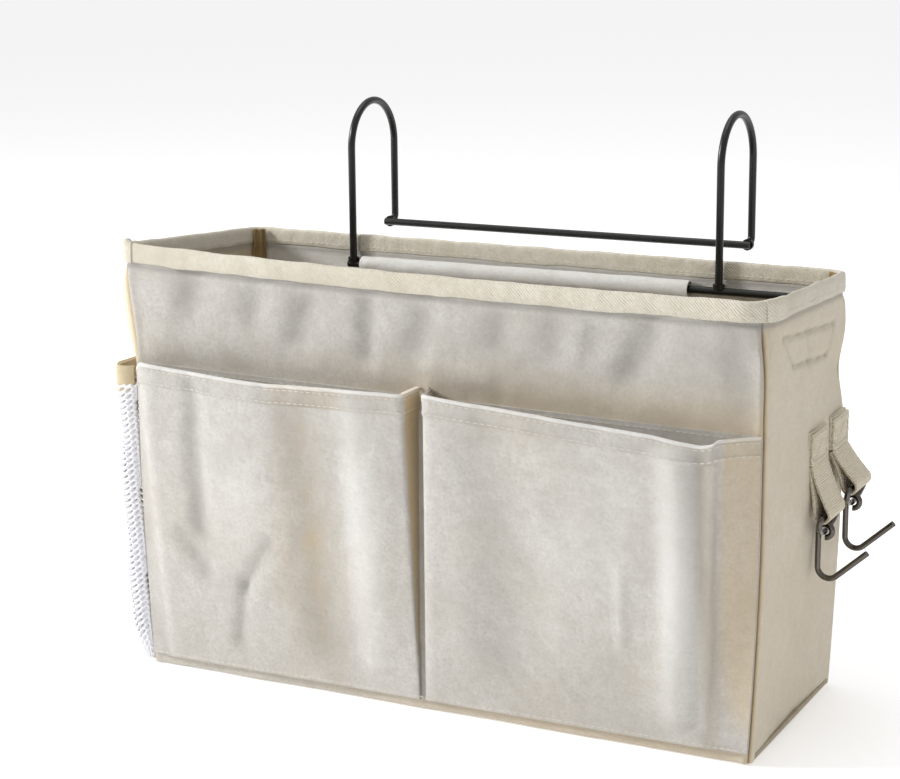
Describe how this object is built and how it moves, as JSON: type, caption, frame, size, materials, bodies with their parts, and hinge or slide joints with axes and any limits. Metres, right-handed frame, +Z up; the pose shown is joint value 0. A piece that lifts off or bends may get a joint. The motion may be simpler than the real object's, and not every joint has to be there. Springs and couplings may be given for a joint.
{
  "type": "canvas hanging storage caddy",
  "caption": "Open-topped canvas storage caddy on an over-rail wire hanger, with bellows front pockets, a net side pocket and wire hooks on webbing loops.",
  "frame": {"origin": "centre of the bag's bottom face", "axes": "+X across the bag to its right side, where the wire hooks hang; +Y to its back, where the hanger goes over a rail; +Z up"},
  "size_m": [0.3926, 0.1923, 0.297],
  "materials": {
    "canvas": "plain-woven cotton canvas, matt",
    "sleeve_cloth": "fine woven cotton, matt",
    "twill_tape": "cream cotton twill tape",
    "seam_tape": "tan cotton binding tape",
    "pocket_band": "tan woven band",
    "net": "white knitted polyester net",
    "webbing": "ribbed cotton webbing",
    "base_board": "pressed board",
    "black_wire": "gloss black powder coat",
    "nickel_wire": "nickel plate"
  },
  "bodies": {
    "bag": {"front_panel": "canvas", "back_panel": "canvas", "left_side_panel": "canvas", "right_side_panel": "canvas", "base_panel": "canvas", "base_board": "base_board", "rim_tape": "twill_tape", "corner_seam_tapes": "seam_tape", "base_seam_tape": "seam_tape", "hanger_sleeve": "sleeve_cloth", "pocket_backing": "canvas", "net_pocket": "net", "net_pocket_band": "pocket_band", "front_loop_tab": "webbing", "rear_loop_tab": "webbing"},
    "left_pocket": {"left_pocket_front": "canvas", "left_pocket_outer_gusset": "canvas", "left_pocket_inner_gusset": "canvas"},
    "right_pocket": {"right_pocket_front": "canvas", "right_pocket_inner_gusset": "canvas", "right_pocket_outer_gusset": "canvas"},
    "hanger": {"hanger_left_hook": "black_wire", "hanger_right_hook": "black_wire", "hanger_crossbar": "black_wire", "hanger_sleeve_bar": "black_wire", "hanger_welds": "black_wire"},
    "front_loop": {"front_webbing_loop": "webbing"},
    "front_ring": {"front_ring": "nickel_wire"},
    "front_hook": {"front_wire_hook": "nickel_wire"},
    "rear_loop": {"rear_webbing_loop": "webbing"},
    "rear_ring": {"rear_ring": "nickel_wire"},
    "rear_hook": {"rear_wire_hook": "nickel_wire"}
  },
  "joints": [
    {"name": "left_pocket_close", "type": "hinge", "parent": "bag", "child": "left_pocket", "pos_m": [-0.078, -0.0637, 0.006], "axis": [-1, 0, 0], "range_deg": [0, 6.03], "deforming": ["left_pocket_outer_gusset", "left_pocket_inner_gusset"]},
    {"name": "right_pocket_close", "type": "hinge", "parent": "bag", "child": "right_pocket", "pos_m": [0.082, -0.0637, 0.006], "axis": [-1, 0, 0], "range_deg": [0, 6.03], "deforming": ["right_pocket_outer_gusset", "right_pocket_inner_gusset"]},
    {"name": "hanger_tilt", "type": "hinge", "parent": "bag", "child": "hanger", "pos_m": [0, 0.057, 0.206], "axis": [1, 0, 0], "range_deg": [0, 175]},
    {"name": "front_loop_lift", "type": "hinge", "parent": "bag", "child": "front_loop", "pos_m": [0.178, 0.0135, 0.1334], "axis": [0, -1, 0], "range_deg": [0, 100]},
    {"name": "front_ring_swing", "type": "hinge", "parent": "front_loop", "child": "front_ring", "pos_m": [0.18367, 0.0135, 0.10799], "axis": [0, -1, 0], "range_deg": [0, 45]},
    {"name": "front_hook_swing", "type": "hinge", "parent": "front_ring", "child": "front_hook", "pos_m": [0.18176, 0.0135, 0.09818], "axis": [0, -1, 0], "range_deg": [0, 60]},
    {"name": "rear_loop_lift", "type": "hinge", "parent": "bag", "child": "rear_loop", "pos_m": [0.178, 0.0485, 0.1334], "axis": [0, -1, 0], "range_deg": [0, 100]},
    {"name": "rear_ring_swing", "type": "hinge", "parent": "rear_loop", "child": "rear_ring", "pos_m": [0.187, 0.0485, 0.11446], "axis": [0, -1, 0], "range_deg": [0, 45]},
    {"name": "rear_hook_swing", "type": "hinge", "parent": "rear_ring", "child": "rear_hook", "pos_m": [0.18509, 0.0485, 0.10465], "axis": [0, -1, 0], "range_deg": [0, 60]}
  ]
}
